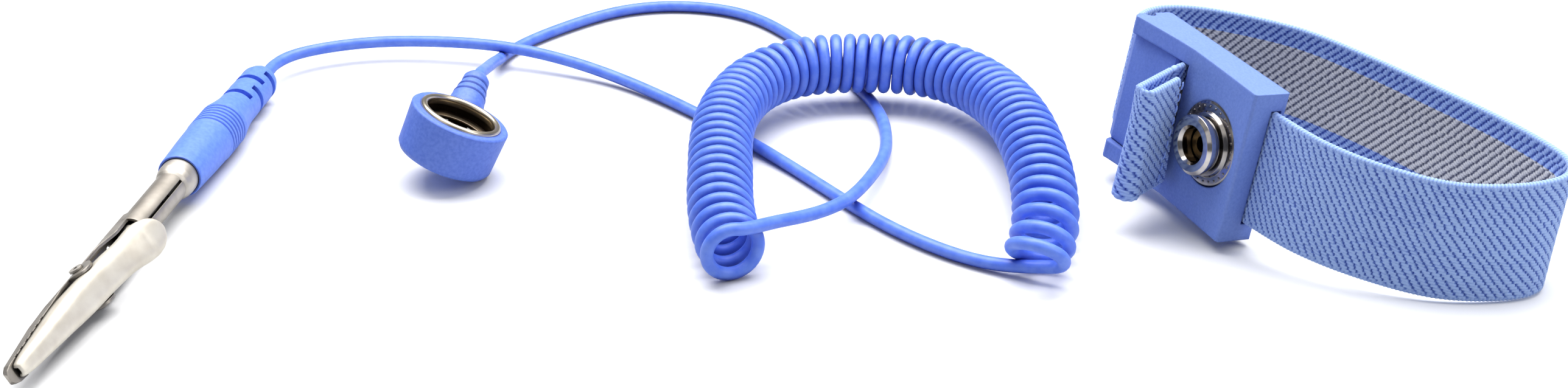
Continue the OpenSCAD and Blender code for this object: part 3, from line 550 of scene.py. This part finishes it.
band_ups = np.concatenate([[BY], spline(loop_up, 24), [BY, BY, BY]])

LEAN = math.radians(20)
tail_dir = np.array([math.sin(LEAN), math.cos(LEAN)])
tail_side = np.array([math.cos(LEAN), -math.sin(LEAN)])
bend_mid = np.array([-5.6, STRAP_Z + 1.6])
tail_from = bend_mid + 1.6 * tail_side
fold_mid = tail_from + 14.4 * tail_dir + 1.4 * tail_side


def arc(mid, r, start, stop, n):
    a = np.radians(np.linspace(start, stop, n + 1))
    return mid + r * np.stack([np.cos(a), np.sin(a)], 1)


hem_to = fold_mid + 1.4 * tail_side - 7 * tail_dir
tail_line = np.concatenate([
    arc(bend_mid, 1.6, -84, -20, 24), [tail_from + 5.2 * tail_dir],
    arc(fold_mid, 1.4, 160, -20, 60), [hem_to]])
tail_path = np.array([on_buckle(p[0], p[1], -0.16 * max(0, p[1] - 8)) for p in tail_line])
tail_ups = np.tile(BY, (len(tail_path), 1))

# The knit, in millimetres: rows across the band, ribs along it, and how its faces sit.
COURSE = 0.5
RIB_PITCH = 1.5
LINING_PITCH = 0.78
EDGE_PITCH = 0.62
FACE_AT = 0.42
RELIEF = 0.24
SEAM_AT = 6.3
EDGE_AT = 9.55
BEAD_R = 0.42
LINING_RISE = 0.2
course_shift = rng.normal(0, 0.05, 4096)
course_height = rng.normal(0, 0.12, 4096)


def ribs(s, v, inside):
    """Height, about 0 to 1, of the knit's diagonal ribs at s along and v across the band."""
    k = np.floor(v / COURSE)
    idx = (k.astype(int) + 2048 + 97 * np.floor(s / 9).astype(int)) % 4096
    stepped = 0.75 * (k + 0.5) * COURSE + 0.25 * v
    phase = (s + 0.85 * stepped) / RIB_PITCH + 4.2 * (1 - np.exp(-s / 25)) + course_shift[idx]
    phase = phase + 0.05 * np.sin(s * 0.7 + v * 0.3)
    f = phase - np.floor(phase)
    gap = np.minimum(f, 1 - f)
    if inside:
        rib = smooth(gap / 0.34) ** 0.8
        t = (0.95 * s - 1.25 * v) / LINING_PITCH + course_shift[idx] * 0.6
        strand = 0.5 + 0.5 * np.cos(2 * math.pi * t)
        return rib * (0.6 + 0.4 * strand)
    rib = smooth(gap / 0.2)
    t = v / COURSE + 0.25 * s
    strand = np.abs(np.sin(math.pi * t)) ** 0.7
    return rib * (0.6 + 0.4 * strand) * (1 + 0.5 * course_height[idx])


def knit_band(path, ups, s_from, name, body, node, lining_node, step=0.2, fine=0.125):
    """A length of band: the blue outside wrapped over both edges, and the grey lining."""
    s, p, u = resample(path, step, ups)
    t = tangents(p)
    for _ in range(3):
        t[1:-1] = (t[:-2] + t[1:-1] + t[2:]) / 3
    t /= np.linalg.norm(t, axis=1)[:, None]
    u = u - np.sum(u * t, 1)[:, None] * t
    u /= np.linalg.norm(u, axis=1)[:, None]
    n = np.cross(t, u)
    s = s + s_from
    v_out = np.arange(-EDGE_AT, EDGE_AT + 0.01, fine)
    v_in = np.arange(EDGE_AT, SEAM_AT - 0.01, -fine)
    v_mid = np.linspace(v_in[-1], -v_in[-1], int(2 * v_in[-1] / fine) + 1)
    bead = np.radians(np.linspace(78, -78, 9))

    def surface(v, out):
        """Points over across positions v, on the outer or inner face."""
        ss, vv = np.meshgrid(s, v, indexing="ij")
        h = ribs(ss, vv, not out)
        fade = smooth((9.7 - np.abs(vv)) / 0.8)
        h = h * fade + (0.75 + 0.2 * np.sin(2 * math.pi * ss / EDGE_PITCH)) * (1 - fade)
        o = FACE_AT + RELIEF * h
        if not out:
            o = -o - LINING_RISE * smooth((SEAM_AT + 1 - np.abs(vv)) / 1.5)
        return p[:, None] + vv[..., None] * u[:, None] + o[..., None] * n[:, None], h

    def rim(sign):
        ss, aa = np.meshgrid(s, bead, indexing="ij")
        if sign < 0:
            aa = -aa
        wave = 1 + 0.14 * np.sin(2 * math.pi * ss / EDGE_PITCH + aa)
        v = sign * (EDGE_AT + 0.05 + BEAD_R * np.cos(aa) * wave)
        o = 0.55 * np.sin(aa) * wave
        h = 0.8 + 0.25 * np.sin(2 * math.pi * ss / EDGE_PITCH + aa)
        return p[:, None] + v[..., None] * u[:, None] + o[..., None] * n[:, None], h

    parts = [surface(-v_in[::-1], False), rim(-1), surface(v_out, True), rim(1),
             surface(v_in, False)]
    verts = np.concatenate([q[0] for q in parts], 1)
    # The relief heights ride on the mesh, to paint shade into the stitch gaps and highlight onto
    # their tops.
    relief_shade = np.concatenate([q[1] for q in parts], 1)
    outer = grid_mesh(name, verts, attribute=relief_shade)
    verts, relief_shade = surface(v_mid, False)
    inner = grid_mesh(name + "_lining", verts, attribute=relief_shade)
    knit.put(outer)
    grey_knit.put(inner)
    for piece, cad, slot in ((outer, node, "band"), (inner, lining_node, "conductive_knit")):
        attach(piece, body)
        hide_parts(cad)


loop_len = lengths(band_path)[-1]
knit_band(band_path, band_ups, 0, "band_loop", "wristband", "band_fabric", "band_lining")
knit_band(tail_path, tail_ups, loop_len, "band_tail_knit", "band_tail", "tail_fabric",
          "tail_lining", 0.15)

# Thread stitches along the foot of the hem.
STITCHES = 9
STITCH_PITCH = 2.1
STITCH_HALF = 0.75
THREAD_R = 0.15
foot = hem_to + 1.1 * tail_dir + 0.78 * tail_side
sweep = np.linspace(-1, 1, 9)
bulge = 0.14 * (1 - sweep ** 2)
for i in range(STITCHES):
    middle_y = (i - STITCHES // 2) * STITCH_PITCH
    thread_line = np.array([
        on_buckle(foot[0] + b * tail_side[0], foot[1] + b * tail_side[1],
                  middle_y + STITCH_HALF * q) for q, b in zip(sweep, bulge)])
    piece = tube(f"hem_thread_{i}", thread_line, THREAD_R * np.sqrt(1.02 - sweep ** 6), 8)
    Finish(f"thread_{i}", (120, 150, 240), (160, 188, 250), rough=0.8, grain=3000).put(piece)
    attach(piece, "band_tail")
    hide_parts("hem_stitches")

# ---- clip ----

LEVER = np.array([
    # along, top, skirt, half width
    [19.85, 8.45, 8.2, 0.25], [20.1, 8.5, 8.0, 1.25], [20.8, 8.48, 7.6, 2.2],
    [21.8, 8.3, 7.05, 2.9], [23.1, 7.95, 6.2, 3.28], [24.6, 7.35, 5.2, 3.3],
    [26.2, 6.6, 4.4, 2.92], [28, 5.8, 3.6, 2.74], [30, 5.15, 2.7, 2.74],
    [33, 4.35, 2.0, 2.75], [36, 3.78, 1.6, 2.75], [39, 3.4, 1.15, 2.72],
    [42, 3.08, 0.45, 2.6], [44, 2.92, 0.1, 2.45], [48, 2.55, 0.06, 2.15],
    [52, 2.15, 0.06, 1.85], [55, 1.82, 0.05, 1.63], [57, 1.5, 0.05, 1.42],
    [58, 1.15, 0.05, 1.15], [58.4, 0.8, 0.05, 0.8]])


LEVER_START, LEVER_END = LEVER[0, 0], LEVER[-1, 0]
SHEET = 0.45


def lever_surface(inset):
    """Outer face of the pressed lever, or its inner face when inset."""
    z = np.concatenate([np.linspace(LEVER_START, 24, 24), np.linspace(24.4, LEVER_END, 86)])
    top = np.interp(z, LEVER[:, 0], LEVER[:, 1]) - inset
    low = np.interp(z, LEVER[:, 0], LEVER[:, 2])
    wide = np.maximum(np.interp(z, LEVER[:, 0], LEVER[:, 3]) - inset, 0.05)
    for _ in range(3):
        top[1:-1] = (top[:-2] + 2 * top[1:-1] + top[2:]) / 4
        low[1:-1] = (low[:-2] + 2 * low[1:-1] + low[2:]) / 4
        wide[2:-2] = (wide[1:-3] + 2 * wide[2:-2] + wide[3:-1]) / 4
    a = np.linspace(-1, 1, 33) * math.pi / 2
    y = soft_power(np.sin(a), 0.62)[None, :] * wide[:, None]
    x = low[:, None] + (top - low)[:, None] * np.abs(np.cos(a))[None, :] ** 0.62
    zz = np.repeat(z[:, None], 33, 1)
    if inset:
        zz = np.clip(zz, LEVER_START + 0.8 * inset, LEVER_END - 0.8 * inset)
    return np.stack([x, y, zz], -1)


outside, inside = lever_surface(0), lever_surface(SHEET)
ring = np.concatenate([outside, inside[:, ::-1]], 1)
lever = grid_mesh("clip_lever_shell", on_clip(ring), wrap_across=True)
lit_lever_nickel.put(lever)
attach(lever, "clip_lever")
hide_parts("clip_upper_jaw")


close_ends(lever, *ring.shape[:2])

PIVOT_X, PIVOT_Z = 0.6, 34
SPRING_R = 1.3
SPRING_HALF = 0.95
SPRING_TURNS = 3.383
wound = np.linspace(0, 1, 160)
spring_a = np.radians(75 - 360 * SPRING_TURNS * wound)
spring_turns = np.stack([
    PIVOT_X - SPRING_R * np.sin(spring_a), SPRING_HALF * (2 * wound - 1),
    PIVOT_Z + SPRING_R * np.cos(spring_a)], 1)
spring_path = np.concatenate([
    [[-1.72, -1.2, 25.5], [-1.72, -1.15, 27.5], [-1.72, -1.1, 29.5]], spring_turns,
    [[3.0, 1.1, 30.2], [3.8, 1.15, 28.3], [4.6, 1.2, 26.5]]])
spring = tube("torsion_spring", on_clip(spring_path), 0.25, 12)
wire.put(spring)
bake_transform(spring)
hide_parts("clip_spring")

# ---- CAD nodes that stay ----

finishes = {
    "plug_conductor": brass, "plug_grip": grip_finish, "plug_pin": nickel,
    "plug_contact_cage": nickel, "clip_lower_jaw": shaded_jaw_nickel, "clip_rivet": nickel,
    "snap_cap": shaded_cap_finish, "snap_conductor": brass, "resistor_body": lacquer,
    "resistor_leads": wire, "socket_terminal": nickel, "socket_shell": socket_metal_shade_and_glint,
    "socket_spring": wire, "socket_rivet": dull_shaded_brass, "buckle_body": buckle_finish,
    "buckle_flap": buckle_finish, "flap_pin": steel, "contact_plate": steel,
    "snap_stud": bright, "stud_rivet": brass}
for name, finish in finishes.items():
    finish.put(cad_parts[name])

# ---- stage ----

bpy.ops.mesh.primitive_grid_add(x_subdivisions=8, y_subdivisions=8, size=6)
floor = bpy.context.object
floor.name = "bench_top"
floor.location = (0, 0, -0.0002)
bench = Finish("pale_bench", (248, 248, 249), (252, 252, 253), rough=0.9, grain=60, bump=0.0,
               spec=0.05).put(floor)
# The bench is darker to everything but the camera, so that it throws less light back up.
seen = bench.new("ShaderNodeLightPath")
softer = bench.new("ShaderNodeMix")
softer.data_type = "RGBA"
softer.inputs["A"].default_value = (0.56, 0.57, 0.59, 1)
bench.link(seen.outputs["Is Camera Ray"], softer.inputs["Factor"])
bench.link(bench.color, softer.inputs["B"])
bench.link(softer.outputs["Result"], bench.bsdf.inputs["Base Color"])

# A white studio: the light falls off towards the horizon, and the camera sees plain white.
world = bpy.data.worlds.new("studio")
scene.world = world
world.use_nodes = True
tree = world.node_tree
tree.nodes.clear()
out = tree.nodes.new("ShaderNodeOutputWorld")
coord = tree.nodes.new("ShaderNodeTexCoord")
split = tree.nodes.new("ShaderNodeSeparateXYZ")
ramp = tree.nodes.new("ShaderNodeValToRGB")
ramp.color_ramp.elements[0].position = 0.64
ramp.color_ramp.elements[0].color = (0.16, 0.17, 0.2, 1)
ramp.color_ramp.elements[1].position = 0.8
ramp.color_ramp.elements[1].color = (1, 1, 1, 1)
back = tree.nodes.new("ShaderNodeBackground")
back.inputs["Strength"].default_value = 0.75
white = tree.nodes.new("ShaderNodeBackground")
white.inputs["Color"].default_value = (1, 1, 1, 1)
white.inputs["Strength"].default_value = 1.0
path = tree.nodes.new("ShaderNodeLightPath")
mix = tree.nodes.new("ShaderNodeMixShader")
tree.links.new(coord.outputs["Generated"], split.inputs["Vector"])
tree.links.new(split.outputs["Z"], ramp.inputs["Fac"])
tree.links.new(ramp.outputs["Color"], back.inputs["Color"])
tree.links.new(path.outputs["Is Camera Ray"], mix.inputs["Fac"])
tree.links.new(back.outputs["Background"], mix.inputs[1])
tree.links.new(white.outputs["Background"], mix.inputs[2])
tree.links.new(mix.outputs["Shader"], out.inputs["Surface"])


def area(name, at, target, size, power):
    """A rectangular light at a place, turned to face its target."""
    data = bpy.data.lights.new(name, "AREA")
    data.shape = "RECTANGLE"
    data.size, data.size_y = size
    data.energy = power
    obj = bpy.data.objects.new(name, data)
    scene.collection.objects.link(obj)
    d = unit(np.array(target, float) - np.array(at, float))
    obj.rotation_euler = Vector(d).to_track_quat("-Z", "Y").to_euler()
    obj.location = at


area("top_soft", (0.0, 0.3, 0.9), (0, 0, 0), (1.3, 0.8), 18)
area("front_left", (-0.6, -0.7, 0.6), (0, 0, 0.01), (0.6, 0.5), 0.6)
area("right_side", (0.8, -0.3, 0.5), (0.05, 0, 0.01), (0.4, 0.5), 2.2)

camera_data = bpy.data.cameras.new("camera")
camera_data.sensor_fit = "HORIZONTAL"
camera_data.sensor_width = 36
camera_data.lens = 51.708
camera_data.clip_start = 0.01
camera = bpy.data.objects.new("camera", camera_data)
scene.collection.objects.link(camera)
camera.location = (-0.0052, -0.3555, 0.1725)
camera.rotation_euler = (math.radians(63.5), 0, 0)
scene.camera = camera
scene.view_settings.view_transform = "Standard"
